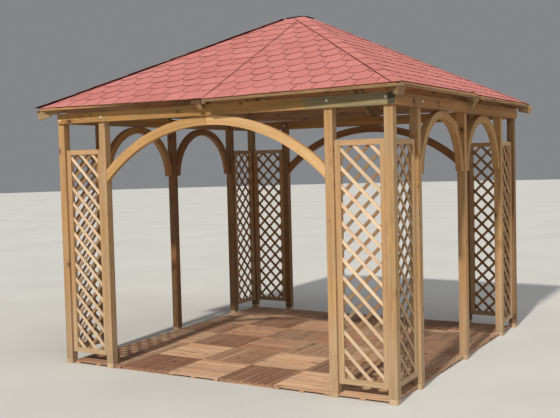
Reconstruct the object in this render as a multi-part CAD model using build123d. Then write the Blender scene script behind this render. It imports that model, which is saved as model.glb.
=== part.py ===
from build123d import *
import math
import os

# Square timber garden gazebo with a pyramid roof.
# Frame: origin on the floor under the apex, +Z up, the wide front arch
# faces -Y, the side with two narrow arches faces +X.  Millimetres.

os.makedirs("parts", exist_ok=True)

# ---------------------------------------------------------------- dimensions
POST = 70.0            # square post
HALF = 1618.0          # centre to the outer faces of the posts
GAP = 410.0            # clear gap between a corner post and its neighbour
FOOT_H = 43.0          # pale block under every post
FOOT_W = 67.0

BEAM_BOTTOM = 2165.0   # underside of the ring beam
BEAM_H = 88.0
BEAM_OUT = HALF + 20.0          # outer face of the front and back beams
BEAM_IN = HALF - 45.0           # inner face, where the post tongues stand
BEAM_LEFT = HALF                # outer face of the left beam
BEAM_END = HALF - 14.0          # left end of the front beam
RIGHT_OUT = HALF + 32.0         # the right beam stands prouder
RIGHT_IN = HALF - 30.0
BEAM_TOP = BEAM_BOTTOM + BEAM_H
BACK_TOP = BEAM_BOTTOM + 98.0   # the back beam is higher

TRELLIS_Z0 = 105.0     # trellis panels between the post pairs
TRELLIS_Z1 = 1928.0
TRELLIS_T = 35.0       # frame lath depth
TRELLIS_STILE = 46.0   # upright laths of the frame
TRELLIS_RAIL = 42.0    # level laths of the frame
TRELLIS_BACK = 25.0    # set back from the outer post face
LATTICE_W = 26.0       # diagonal slat width
LATTICE_T = 8.0        # diagonal slat thickness
LATTICE_PITCH = 136.5  # vertical pitch of the slats, which lie at 45 degrees
LATTICE_OUTER = 0.0    # height of the outer layer's middle slat over the panel's centre
LATTICE_INNER = -15.0  # the same for the inner layer

ARCH_T = 45.0          # thickness of the wide arches, across the wall
SIDE_T = 55.0          # the same for the narrow arches
ARCH_BACK = 6.0        # set back from the outer post face
FRONT_R_OUT = 1575.0   # wide arch, segment of a circle
FRONT_R_IN = 1500.0
SIDE_BAND = 66.0       # narrow arches, half rings
SIDE_FOOT_Z = 1660.0

EAVE = 1735.0          # centre to the eave line
EAVE_PUSH = [42.0, 24.0, 42.0, 24.0]   # how far the right-hand panel of a side stands out at its seam
SEAM = 84.0            # the seam between a side's two panels, right of its centre
ROOF_APEX = 3190.0     # where the four roof planes would meet
ROOF_EAVE_Z = 2305.0   # roof plane at the eave
COVER = 3.4            # roof covering, measured plumb
BOARD = 20.0           # roof boards
HIP_W = 45.0
HIP_H = 90.0
HIP_DROP = 13.0        # hip rafter top under the meeting line of two planes
HIP_END = 1750.0       # tail end on each axis, beyond the eave corner
HIP_TAIL = 72.0        # depth at the tail of the two right-hand hip rafters
MID_W = 45.0
MID_H = 80.0
HUB_R = 60.0           # half the width of the eight-sided block at the apex
HUB_Z0 = 2970.0
HUB_Z1 = 3130.0
BATTEN_W = 38.0
BATTEN_H = 36.0
CAP_HALF = 112.0       # square cap over the apex: half width
CAP_TOP = ROOF_APEX - 33.0
CAP_T = 5.0

DECK_X0, DECK_X1 = -1530.0, 1585.0   # the deck of tiles lies a little off centre
DECK_Y0, DECK_Y1 = -1600.0, 1490.0
DECK_T = 30.0
DECK_CLEAR = 2.0       # gap round the post feet

SLOPE = (ROOF_APEX - ROOF_EAVE_Z) / EAVE
COS = math.cos(math.atan(SLOPE))
BOARD_V = BOARD / COS                 # board thickness measured plumb
BOARD_APEX = ROOF_APEX - COVER        # apex of the planes on top of the boards
UNDER_APEX = BOARD_APEX - BOARD_V     # apex of the planes under the boards

A = HALF - POST / 2                   # post axis on the outer line
B = HALF - POST - GAP - POST / 2      # axis of the post beside a corner post
B_IN = B - POST / 2                   # its inner side, where the arch starts


# ------------------------------------------------------------------- helpers
def block(x0, x1, y0, y1, z0, z1):
    return Pos((x0 + x1) / 2, (y0 + y1) / 2, (z0 + z1) / 2) * Box(x1 - x0, y1 - y0, z1 - z0)


def turned(shape, quarter):
    # quarter turns counter-clockwise seen from above: 0 front, 1 right, 2 back, 3 left
    return Rot(0, 0, 90 * quarter) * shape


def prism_xz(points, y0, y1):
    # outline in X and Z, carried from y0 to y1
    face = make_face(Plane.XZ * Polyline(*points, close=True))
    return Pos(0, y1, 0) * extrude(face, amount=y1 - y0, dir=(0, -1, 0))


def save(name, *shapes):
    shapes = [s for s in shapes]
    if len(shapes) == 1:
        whole = shapes[0]
        solids = whole.solids()
        whole = solids[0] if len(solids) == 1 else Compound(children=list(solids))
    else:
        parts = []
        for s in shapes:
            parts.extend(s.solids())
        whole = Compound(children=parts)
    export_step(whole, f"parts/{name}.step")
    return whole


# --------------------------------------------------------------------- posts
# Each post is notched on its outer side for the ring beam; the inner
# part runs up behind the beam as a tongue.
INNER = [BEAM_IN, RIGHT_IN, BEAM_IN, BEAM_IN]


def side_post(x, q=0):
    body = block(x - POST / 2, x + POST / 2, -HALF, -HALF + POST, FOOT_H, BEAM_BOTTOM)
    tongue = block(x - POST / 2, x + POST / 2, -INNER[q], -HALF + POST, BEAM_BOTTOM - 1, BEAM_TOP)
    return body + tongue


def corner_post(q=0):
    body = block(HALF - POST, HALF, -HALF, -HALF + POST, FOOT_H, BEAM_BOTTOM)
    tongue = block(HALF - POST, INNER[(q + 1) % 4], -INNER[q], -HALF + POST, BEAM_BOTTOM - 1, BEAM_TOP)
    return body + tongue


SIDES = ["front", "right", "back", "left"]
CORNERS = ["front_right", "back_right", "back_left", "front_left"]

for q, name in enumerate(CORNERS):
    save(f"post_corner_{name}", turned(corner_post(q), q))

# beside the corner posts: name the near corner second
BESIDE = {
    "front": ("post_front_beside_left", "post_front_beside_right"),
    "right": ("post_right_beside_front", "post_right_beside_back"),
    "back": ("post_back_beside_right", "post_back_beside_left"),
    "left": ("post_left_beside_back", "post_left_beside_front"),
}
for q, side in enumerate(SIDES):
    low, high = BESIDE[side]
    save(low, turned(side_post(-B, q), q))
    save(high, turned(side_post(B, q), q))
save("post_right_middle", turned(side_post(0, 1), 1))
save("post_left_middle", turned(side_post(0, 3), 3))

feet = []
foot_places = []
for q in range(4):
    spots = [(A, -A), (-B, -A), (B, -A)]
    if q in (1, 3):
        spots.append((0, -A))
    for x, y in spots:
        f = block(x - FOOT_W / 2, x + FOOT_W / 2, y - FOOT_W / 2, y + FOOT_W / 2, 0, FOOT_H)
        feet.append(turned(f, q))
        hole = FOOT_W / 2 + DECK_CLEAR
        foot_places.append(turned(block(x - hole, x + hole, y - hole, y + hole, -5, DECK_T + 5), q))
save("post_feet", *feet)

# ---------------------------------------------------------------- ring beams
# Each beam laps past the end of the next one round the square.
beams = [
    block(-BEAM_END, RIGHT_IN, -BEAM_OUT, -BEAM_IN, BEAM_BOTTOM, BEAM_TOP),
    block(RIGHT_IN, RIGHT_OUT, -BEAM_OUT - 2, BEAM_IN, BEAM_BOTTOM, BEAM_TOP),
    block(-BEAM_IN, RIGHT_IN, BEAM_IN, BEAM_OUT, BEAM_BOTTOM, BACK_TOP),
    block(-BEAM_LEFT, -BEAM_IN, -BEAM_IN, BEAM_OUT, BEAM_BOTTOM, BEAM_TOP),
]
for q, side in enumerate(SIDES):
    save(f"beam_{side}", beams[q])
ring = beams[0] + beams[1] + beams[2] + beams[3]

# ---------------------------------------------------------------- trellises
# Rectangular frame with two layers of slats at 45 degrees: the outer layer
# falls to the right seen from outside, the inner layer rises to the right.
def trellis():
    w, h = GAP, TRELLIS_Z1 - TRELLIS_Z0
    iw, ih = w - 2 * TRELLIS_STILE, h - 2 * TRELLIS_RAIL
    frame = Rectangle(w, h) - Rectangle(iw, ih)
    opening = Rectangle(iw + 10, ih + 10)
    length = 3 * w
    n = int(h / LATTICE_PITCH) + 5

    def slats(sign, phase):
        out = None
        for i in range(-n, n + 1):
            c = i * LATTICE_PITCH + phase
            bar = Pos(0, c) * Rot(0, 0, 45 * sign) * Rectangle(length, LATTICE_W)
            piece = bar & opening
            if piece is None or not piece.faces():
                continue
            out = piece if out is None else out + piece
        return out

    y = -HALF + TRELLIS_BACK
    mid = y + TRELLIS_T / 2
    plane = Plane(origin=(0, 0, (TRELLIS_Z0 + TRELLIS_Z1) / 2), x_dir=(1, 0, 0), z_dir=(0, -1, 0))
    f = extrude(plane.offset(-y) * frame, amount=-TRELLIS_T)
    outer = extrude(plane.offset(-mid + LATTICE_T) * slats(-1, LATTICE_OUTER), amount=-(LATTICE_T + 0.5))
    inner = extrude(plane.offset(-mid) * slats(1, LATTICE_INNER), amount=-LATTICE_T)
    return f + outer + inner


panel = trellis()
off = B + POST / 2 + GAP / 2
NEAR = {
    "front": ("left", "right"),
    "right": ("front", "back"),
    "back": ("right", "left"),
    "left": ("back", "front"),
}
for q, side in enumerate(SIDES):
    a, b = NEAR[side]
    save(f"trellis_{side}_{a}", turned(Pos(-off, 0, 0) * panel, q))
    save(f"trellis_{side}_{b}", turned(Pos(off, 0, 0) * panel, q))

# ------------------------------------------------------------------- arches
ARCH_Y0 = -HALF + ARCH_BACK
ARCH_Y1 = ARCH_Y0 + SIDE_T


def ring_xz(cx, cz, r_out, r_in, thick=ARCH_T):
    plane = Plane(origin=(cx, ARCH_Y0, cz), x_dir=(1, 0, 0), z_dir=(0, -1, 0))
    return extrude(plane * (Circle(r_out) - Circle(r_in)), amount=-thick)


# Wide arch: two halves that meet at the crown with a fine joint.
wide = ring_xz(0, BEAM_BOTTOM - FRONT_R_OUT, FRONT_R_OUT, FRONT_R_IN)
half_l = wide & block(-B_IN, -0.6, ARCH_Y0 - 5, ARCH_Y1 + 5, 1500, 2300)
half_r = wide & block(0.6, B_IN, ARCH_Y0 - 5, ARCH_Y1 + 5, 1500, 2300)
save("arch_front", half_l, half_r)
save("arch_back", turned(half_l, 2), turned(half_r, 2))

# Narrow arches: half rings between the middle post and its neighbours.
side_span = B_IN - POST / 2
side_c = POST / 2 + side_span / 2
side_r = side_span / 2
side_cz = BEAM_BOTTOM - side_r
narrow = ring_xz(side_c, side_cz, side_r, side_r - SIDE_BAND, SIDE_T)
narrow = narrow & block(POST / 2, B_IN, ARCH_Y0 - 5, ARCH_Y1 + 5, SIDE_FOOT_Z, 2300)
narrow_low = mirror(narrow, Plane.YZ)
save("arch_right_back", turned(narrow, 1))
# This arch has a thicker ear on its outer curve, right of the crown.
ear = prism_xz([(-330, 2100), (-330, 2116), (-216, 2076), (-198, 2058), (-148, 1971), (-160, 1960), (-230, 2030),
                (-290, 2075)], ARCH_Y0, ARCH_Y1)
save("arch_right_front", turned(narrow_low + ear, 1))
save("arch_left_front", turned(narrow, 3))
save("arch_left_back", turned(narrow_low, 3))

# -------------------------------------------------------------- roof timbers
hub = extrude(RegularPolygon(HUB_R, 8, major_radius=False, rotation=22.5), amount=HUB_Z1 - HUB_Z0)
hub = Pos(0, 0, HUB_Z0) * hub
save("apex_block", hub)


def slanted(top_at, slope, start, end, depth, width, tail=None, seat=None):
    # a timber that falls away from the axis along +X, with a square-cut tail
    a = math.atan(slope)
    z0, z1 = top_at(start), top_at(end)
    low = depth / math.cos(a)
    pts = [
        (start, z0),
        (end, z1),
        (end - (tail or depth) * math.sin(a), z1 - (tail or depth) * math.cos(a)),
        (start, z0 - low),
    ]
    if tail:
        # the underside rises from the seat to the tail
        pts.insert(3, (seat, top_at(seat) - low))
    return prism_xz(pts, -width / 2, width / 2)


root2 = math.sqrt(2)


def hip(**kw):
    return slanted(lambda d: ROOF_APEX - HIP_DROP - SLOPE * d / root2, SLOPE / root2,
                   HUB_R, HIP_END * root2, HIP_H, HIP_W, **kw)


hip_full = hip()
hip_thin = hip(tail=HIP_TAIL, seat=BEAM_OUT * root2)
under_cap = block(-200, 200, -200, 200, CAP_TOP - CAP_T - 0.3, CAP_TOP + 50)
hips = [Rot(0, 0, 45 + 90 * k) * h - ring - under_cap
        for k, h in ((-1, hip_thin), (0, hip_thin), (1, hip_full), (2, hip_full))]
save("hip_rafters", *hips)

mid = slanted(lambda d: UNDER_APEX - SLOPE * d, SLOPE, HUB_R, EAVE - 8, MID_H, MID_W)
mids = [Rot(0, 0, -90 + 90 * k) * mid - ring for k in range(4)]
save("middle_rafters", *mids)

batten = slanted(lambda d: UNDER_APEX - SLOPE * d, SLOPE, 110.0, EAVE - 12, BATTEN_H, BATTEN_W)
shift = MID_W / 2 + 7.0 + BATTEN_W / 2
battens = []
for k in range(4):
    for s in (-1, 1):
        battens.append(Rot(0, 0, -90 + 90 * k) * Pos(0, s * shift, 0) * batten)
save("roof_battens", *battens)

# -------------------------------------------------------------- roof panels
# Two boarded panels a side, between the hip rafters' sides and a fine seam
# just right of the middle rafter.
reach = EAVE + 200
slab_pts = [(0, BOARD_APEX), (reach, BOARD_APEX - SLOPE * reach),
            (reach, UNDER_APEX - SLOPE * reach), (0, UNDER_APEX)]
slab = Rot(0, 0, -90) * prism_xz(slab_pts, -reach, reach)
near = 70.0
inset = HIP_W / 2 * root2


def panel_plan(*pts):
    return extrude(make_face(Polyline(*pts, close=True)), amount=4000, dir=(0, 0, 1))


s0, s1 = SEAM - 1, SEAM + 1
left_plan = panel_plan((-(near - inset), -near), (near - inset, -near), (s0, -s0 - inset), (s0, -EAVE),
                       (-(EAVE - inset), -EAVE))

for q, side in enumerate(SIDES):
    right_plan = panel_plan((s1, -s1 - inset), (EAVE - inset, -EAVE), (s1, -EAVE - EAVE_PUSH[q]))
    left = slab & left_plan
    right = slab & right_plan
    save(f"roof_{side}", turned(left, q), turned(right, q))

# Small flat cap over the apex, on the planes of the boards.
def pyramid(apex, w_low, w_high):
    return loft([
        Plane.XY.offset(apex - SLOPE * w_low) * Rectangle(2 * w_low, 2 * w_low),
        Plane.XY.offset(apex - SLOPE * w_high) * Rectangle(2 * w_high, 2 * w_high),
    ])


cap = block(-CAP_HALF, CAP_HALF, -CAP_HALF, CAP_HALF, BOARD_APEX - SLOPE * CAP_HALF - 10.0, CAP_TOP)
cap = cap - (pyramid(BOARD_APEX + 0.2, 400.0, 10.0) & block(-400, 400, -400, 400, 2900, CAP_TOP - CAP_T))
cap_core = extrude(RegularPolygon(HUB_R - 1, 8, major_radius=False, rotation=22.5),
                   amount=CAP_TOP - CAP_T + 0.5 - HUB_Z1 - 0.2)
cap_core = Pos(0, 0, HUB_Z1 + 0.2) * cap_core
save("apex_cap", cap + cap_core)

# --------------------------------------------------------------- floor deck
deck = block(DECK_X0, DECK_X1, DECK_Y0, DECK_Y1, 0, DECK_T)
for hole in foot_places:
    deck = deck - hole
save("floor_deck", deck)
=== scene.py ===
import bpy
import math
import random
from mathutils import Matrix, Vector
from mathutils.geometry import tessellate_polygon


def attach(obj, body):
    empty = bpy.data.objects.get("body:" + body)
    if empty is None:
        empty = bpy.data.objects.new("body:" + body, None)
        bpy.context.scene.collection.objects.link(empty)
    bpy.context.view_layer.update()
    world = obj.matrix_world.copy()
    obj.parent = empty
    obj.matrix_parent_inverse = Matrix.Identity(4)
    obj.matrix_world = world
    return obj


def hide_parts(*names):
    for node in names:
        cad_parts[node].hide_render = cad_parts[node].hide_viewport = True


# Square timber garden gazebo: planed posts, lattice panels, arches, a boarded
# pyramid roof covered with round-ended tabs, and a deck of ribbed tiles.
# Metres.  Origin on the ground under the apex, +Z up, wide arch towards -Y.

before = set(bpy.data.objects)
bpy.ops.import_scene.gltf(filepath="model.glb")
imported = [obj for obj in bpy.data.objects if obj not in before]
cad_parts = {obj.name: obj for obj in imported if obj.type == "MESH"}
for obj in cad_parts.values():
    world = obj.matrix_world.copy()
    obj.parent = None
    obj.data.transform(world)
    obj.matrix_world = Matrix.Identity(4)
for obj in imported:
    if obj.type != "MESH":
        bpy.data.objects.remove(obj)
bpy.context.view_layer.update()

rng = random.Random(20419)

# ------------------------------------------------------------------ sizes
POST = 0.070
HALF = 1.618
GAP = 0.410
FOOT_H = 0.043
FOOT_W = 0.067
BEAM_Z0 = 2.165
BEAM_H = 0.088
BEAM_OUT = HALF + 0.020
BEAM_IN = HALF - 0.045
BEAM_LEFT = HALF
BEAM_END = HALF - 0.014
RIGHT_OUT = HALF + 0.032
RIGHT_IN = HALF - 0.030
BEAM_Z1 = BEAM_Z0 + BEAM_H
INNER = [BEAM_IN, RIGHT_IN, BEAM_IN, BEAM_IN]
FACE = [BEAM_OUT, RIGHT_OUT, BEAM_OUT, BEAM_LEFT]
TR_Z0, TR_Z1 = 0.105, 1.928
TR_T = 0.035
TR_STILE, TR_RAIL = 0.046, 0.042
TR_BACK = 0.025
SLAT_W, SLAT_T = 0.026, 0.008
SLAT_PITCH = 0.1365
ARCH_T = 0.045
ARCH_BACK = 0.006
WIDE_OUT, WIDE_IN = 1.575, 1.500
SIDE_T = 0.055
BAND = 0.066
SIDE_FOOT = 1.660
EAVE = 1.735
APEX = 3.190
EAVE_Z = 2.305
COVER = 0.0034
BOARD = 0.020
HIP_W, HIP_H, HIP_DROP, HIP_END = 0.045, 0.090, 0.013, 1.750
MID_W, MID_H = 0.045, 0.080
HUB_R, HUB_Z0, HUB_Z1 = 0.060, 2.970, 3.130
BAT_W, BAT_H = 0.038, 0.036
PUSH = [0.042, 0.024, 0.042, 0.024]
BOARD_SEAM = 0.084
CAP_HALF, CAP_TOP = 0.111, APEX - 0.0335
BACK_Z1 = BEAM_Z0 + 0.098
HIP_TAIL = 0.072
DECK_T = 0.030
SLOPE = (APEX - EAVE_Z) / EAVE
COS = math.cos(math.atan(SLOPE))
LEN = math.hypot(1.0, SLOPE)
BOARD_APEX = APEX - COVER
UNDER_APEX = BOARD_APEX - BOARD / COS
A = HALF - POST / 2
B = HALF - POST - GAP - POST / 2
B_IN = B - POST / 2


# ---------------------------------------------------------------- meshes
def turn(q):
    c, s = ((1, 0), (0, 1), (-1, 0), (0, -1))[q % 4]
    return lambda p: (c * p[0] - s * p[1], s * p[0] + c * p[1], p[2])


def spin(angle):
    c, s = math.cos(angle), math.sin(angle)
    return lambda p: (c * p[0] - s * p[1], s * p[0] + c * p[1], p[2])


def tone(bright=None, warm=None, age=None):
    r = (rng.random(), rng.random(), rng.random())
    return tuple(v if g is None else g for g, v in zip((bright, warm, age), r))


def near(v, spread):
    return min(1.0, max(0.0, v + rng.uniform(-spread, spread)))


class Piece:
    def __init__(self):
        self.co, self.faces, self.mi = [], [], []
        self.grain, self.tone, self.edge = [], [], []

    def add(self, co, faces, grain, tn, mi=0, edge=None, shift=True):
        # closed shells: turned outward by their signed volume
        vol = 0.0
        for f in faces:
            a = co[f[0]]
            for i in range(1, len(f) - 1):
                b, c = co[f[i]], co[f[i + 1]]
                vol += (a[0] * (b[1] * c[2] - b[2] * c[1]) - a[1] * (b[0] * c[2] - b[2] * c[0])
                        + a[2] * (b[0] * c[1] - b[1] * c[0]))
        n = len(self.co)
        mis = mi if isinstance(mi, list) else [mi] * len(faces)
        for f in faces:
            self.faces.append([n + i for i in (reversed(f) if vol < 0 else f)])
        self.mi.extend(mis)
        self.co.extend(co)
        o = (rng.uniform(0, 40), rng.uniform(-0.05, 0.05), rng.uniform(-0.05, 0.05)) if shift else (0, 0, 0)
        self.grain.extend((g[0] + o[0], g[1] + o[1], g[2] + o[2]) for g in grain)
        self.tone.extend([tn] * len(co))
        self.edge.extend(edge if edge is not None else [0.0] * len(co))

    def make(self, name, materials, slot, replaces=(), smooth=35):
        me = bpy.data.meshes.new(name)
        me.from_pydata([tuple(c) for c in self.co], [], self.faces)
        for m in materials:
            me.materials.append(m)
        me.polygons.foreach_set("material_index", self.mi)
        for key, kind, flat in (("grain", "FLOAT_VECTOR", [v for g in self.grain for v in g]),
                                ("tone", "FLOAT_VECTOR", [v for g in self.tone for v in g])):
            at = me.attributes.new(key, kind, "POINT")
            at.data.foreach_set("vector", flat)
        at = me.attributes.new("edge", "FLOAT", "POINT")
        at.data.foreach_set("value", self.edge)
        me.shade_smooth()
        me.set_sharp_from_angle(angle=math.radians(smooth))
        me.update()
        ob = bpy.data.objects.new(name, me)
        bpy.context.scene.collection.objects.link(ob)
        even = ob.modifiers.new("even", "WEIGHTED_NORMAL")
        even.mode, even.weight, even.keep_sharp = "FACE_AREA", 95, True
        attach(ob, "root")
        if replaces:
            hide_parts(*replaces)
        return ob


def round_poly(pts, r, seg):
    if r <= 0:
        return [tuple(p) for p in pts]
    out, n = [], len(pts)
    for i in range(n):
        p0, p1, p2 = Vector(pts[i - 1]), Vector(pts[i]), Vector(pts[(i + 1) % n])
        a, b = p0 - p1, p2 - p1
        la, lb = a.length, b.length
        a, b = a / la, b / lb
        bend = math.pi - a.angle(b, 0.0)
        if bend < math.radians(14):
            out.append(tuple(p1))
            continue
        t = min(r * math.tan(bend / 2), 0.45 * la, 0.45 * lb)
        s, e = p1 + a * t, p1 + b * t
        for k in range(seg + 1):
            u = k / seg
            out.append(tuple(s * (1 - u) ** 2 + p1 * 2 * u * (1 - u) + e * u * u))
    return out


def inset(pts, d):
    n = len(pts)
    area = sum(pts[i - 1][0] * pts[i][1] - pts[i][0] * pts[i - 1][1] for i in range(n))
    sg = 1 if area > 0 else -1
    out = []
    for i in range(n):
        p0, p1, p2 = Vector(pts[i - 1]), Vector(pts[i]), Vector(pts[(i + 1) % n])
        e0, e1 = (p1 - p0).normalized(), (p2 - p1).normalized()
        n0, n1 = Vector((-e0.y, e0.x)) * sg, Vector((-e1.y, e1.x)) * sg
        m = n0 + n1
        k = m.length_squared
        out.append(tuple(p1 + m * (2 * d / max(k, 0.9))))
    return out


def cap_faces(ring):
    # one face for a convex outline, triangles for any other
    n = len(ring)
    sg = 1 if sum(ring[i - 1][0] * ring[i][1] - ring[i][0] * ring[i - 1][1] for i in range(n)) > 0 else -1
    for i in range(n):
        a, b, c = ring[i - 1], ring[i], ring[(i + 1) % n]
        if ((b[0] - a[0]) * (c[1] - b[1]) - (b[1] - a[1]) * (c[0] - b[0])) * sg < -1e-12:
            break
    else:
        return [list(range(n))]
    tris = [list(t) for t in tessellate_polygon([[Vector((p[0], p[1], 0.0)) for p in ring]])]
    turn_sum = 0.0
    for t in tris:
        a, b, c = (ring[i] for i in t)
        turn_sum += (b[0] - a[0]) * (c[1] - a[1]) - (b[1] - a[1]) * (c[0] - a[0])
    return [t[::-1] for t in tris] if turn_sum * sg < 0 else tris


def prism(pc, prof, w0, w1, place, grain, tn, r=0.0025, seg=2, cap=None, mi=0, steps=(), stain=None, end_mi=None,
          wall_mi=None):
    # outline in two axes carried along the third, with eased edges and ends
    prof = round_poly(prof, r, seg)
    cap = r if cap is None else cap
    if cap > 0:
        rings = [(w0, inset(prof, cap)), (w0 + 0.3 * cap, inset(prof, 0.3 * cap)), (w0 + cap, prof)]
        rings += [(w, prof) for w in steps]
        rings += [(w1 - cap, prof), (w1 - 0.3 * cap, inset(prof, 0.3 * cap)), (w1, inset(prof, cap))]
    else:
        rings = [(w0, prof)] + [(w, prof) for w in steps] + [(w1, prof)]
    n = len(prof)
    co, gr = [], []
    for w, ring in rings:
        for p in ring:
            co.append(place(p[0], p[1], w))
            gr.append(grain(p[0], p[1], w))
    faces, mis = [], []
    for k in range(len(rings) - 1):
        for i in range(n):
            j = (i + 1) % n
            faces.append([k * n + i, k * n + j, (k + 1) * n + j, (k + 1) * n + i])
            mis.append(wall_mi(prof[i], prof[j]) if wall_mi else mi)
    last = (len(rings) - 1) * n
    ends = cap_faces(prof)
    faces += [t[::-1] for t in ends] + [[last + i for i in t] for t in ends]
    e0, e1 = end_mi or (mi, mi)
    mis += [e0] * len(ends) + [e1] * len(ends)
    mi = mis
    edge = [stain(p[0], p[1], w) for w, ring in rings for p in ring] if stain else None
    pc.add(co, faces, gr, tn, mi, edge)


def rect(x0, x1, y0, y1):
    return [(x0, y0), (x1, y0), (x1, y1), (x0, y1)]


def timber(pc, x0, x1, y0, y1, z0, z1, axis, tn, T=None, r=0.0022, seg=2, cap=None, mi=0, steps=(), stain=None):
    # straight squared timber whose grain runs along the given axis
    T = T or (lambda p: p)
    if axis == "x":
        prism(pc, rect(y0, y1, z0, z1), x0, x1, lambda p, q, w: T((w, p, q)),
              lambda p, q, w: (w, p, q), tn, r, seg, cap, mi, steps, stain)
    elif axis == "y":
        prism(pc, rect(x0, x1, z0, z1), y0, y1, lambda p, q, w: T((p, w, q)),
              lambda p, q, w: (w, p, q), tn, r, seg, cap, mi, steps, stain)
    else:
        prism(pc, rect(x0, x1, y0, y1), z0, z1, lambda p, q, w: T((p, q, w)),
              lambda p, q, w: (w, p, q), tn, r, seg, cap, mi, steps, stain)


def sweep(pc, sections, grains, tn, mi=0):
    n = len(sections[0])
    co = [p for s in sections for p in s]
    gr = [g for s in grains for g in s]
    faces = []
    for k in range(len(sections) - 1):
        for i in range(n):
            j = (i + 1) % n
            faces.append([k * n + i, k * n + j, (k + 1) * n + j, (k + 1) * n + i])
    faces.append(list(range(n - 1, -1, -1)))
    last = (len(sections) - 1) * n
    faces.append([last + i for i in range(n)])
    pc.add(co, faces, gr, tn, mi)


# ------------------------------------------------------------- materials
def lin(r, g, b):
    def f(c):
        c /= 255.0
        return c / 12.92 if c <= 0.04045 else ((c + 0.055) / 1.055) ** 2.4
    return (f(r), f(g), f(b), 1.0)


class Tree:
    def __init__(self, name):
        self.m = bpy.data.materials.new(name)
        self.m.use_nodes = True
        self.t = self.m.node_tree
        self.t.nodes.clear()
        out = self.t.nodes.new("ShaderNodeOutputMaterial")
        self.b = self.t.nodes.new("ShaderNodeBsdfPrincipled")
        self.t.links.new(self.b.outputs[0], out.inputs[0])

    def put(self, sock, val):
        if isinstance(val, bpy.types.NodeSocket):
            self.t.links.new(val, sock)
        else:
            sock.default_value = val

    def math(self, op, a, b=0.0, c=0.0, clamp=False):
        n = self.t.nodes.new("ShaderNodeMath")
        n.operation, n.use_clamp = op, clamp
        for i, v in enumerate((a, b, c)):
            self.put(n.inputs[i], v)
        return n.outputs[0]

    def vec(self, op, a, b=(0, 0, 0)):
        n = self.t.nodes.new("ShaderNodeVectorMath")
        n.operation = op
        self.put(n.inputs[0], a)
        self.put(n.inputs[1], b)
        return n.outputs["Value"] if op in ("LENGTH", "DOT_PRODUCT", "DISTANCE") else n.outputs[0]

    def sep(self, v):
        n = self.t.nodes.new("ShaderNodeSeparateXYZ")
        self.put(n.inputs[0], v)
        return n.outputs[0], n.outputs[1], n.outputs[2]

    def comb(self, x, y, z):
        n = self.t.nodes.new("ShaderNodeCombineXYZ")
        for i, v in enumerate((x, y, z)):
            self.put(n.inputs[i], v)
        return n.outputs[0]

    def noise(self, v, scale=1.0, detail=2.0, rough=0.5, dist=0.0, color=False):
        n = self.t.nodes.new("ShaderNodeTexNoise")
        self.put(n.inputs["Vector"], v)
        n.inputs["Scale"].default_value = scale
        n.inputs["Detail"].default_value = detail
        n.inputs["Roughness"].default_value = rough
        n.inputs["Distortion"].default_value = dist
        return n.outputs["Color"] if color else n.outputs[0]

    def voronoi(self, v, scale=1.0, feature="F1", rand=1.0):
        n = self.t.nodes.new("ShaderNodeTexVoronoi")
        n.feature = feature
        self.put(n.inputs["Vector"], v)
        n.inputs["Scale"].default_value = scale
        n.inputs["Randomness"].default_value = rand
        return n.outputs["Distance"], (n.outputs["Color"] if feature == "F1" else None)

    def ramp(self, v, a0, a1, b0=0.0, b1=1.0, smooth=True):
        n = self.t.nodes.new("ShaderNodeMapRange")
        n.interpolation_type = "SMOOTHSTEP" if smooth else "LINEAR"
        n.clamp = True
        for i, x in enumerate((v, a0, a1, b0, b1)):
            self.put(n.inputs[i], x)
        return n.outputs[0]

    def mix(self, fac, a, b, blend="MIX"):
        n = self.t.nodes.new("ShaderNodeMix")
        n.data_type, n.blend_type, n.clamp_factor = "RGBA", blend, True
        self.put(n.inputs[0], fac)
        self.put(n.inputs[6], a)
        self.put(n.inputs[7], b)
        return n.outputs[2]

    def attr(self, name, out="Vector"):
        n = self.t.nodes.new("ShaderNodeAttribute")
        n.attribute_name = name
        return n.outputs[out]

    def place(self):
        n = self.t.nodes.new("ShaderNodeTexCoord")
        return n.outputs["Object"]

    def scaled(self, col, k):
        n = self.t.nodes.new("ShaderNodeVectorMath")
        n.operation = "SCALE"
        self.put(n.inputs[0], col if isinstance(col, bpy.types.NodeSocket) else col[:3])
        self.put(n.inputs[3], k)
        return n.outputs[0]

    def bump(self, height, strength, dist, normal=None):
        n = self.t.nodes.new("ShaderNodeBump")
        n.inputs["Strength"].default_value = strength
        n.inputs["Distance"].default_value = dist
        self.put(n.inputs["Height"], height)
        if normal is not None:
            self.put(n.inputs["Normal"], normal)
        return n.outputs[0]

    def done(self, color, rough, normal=None, spec=0.3, metal=0.0):
        self.put(self.b.inputs["Base Color"], color)
        self.put(self.b.inputs["Roughness"], rough)
        self.b.inputs["Specular IOR Level"].default_value = spec
        self.b.inputs["Metallic"].default_value = metal
        if normal is not None:
            self.put(self.b.inputs["Normal"], normal)
        return self.m


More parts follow.
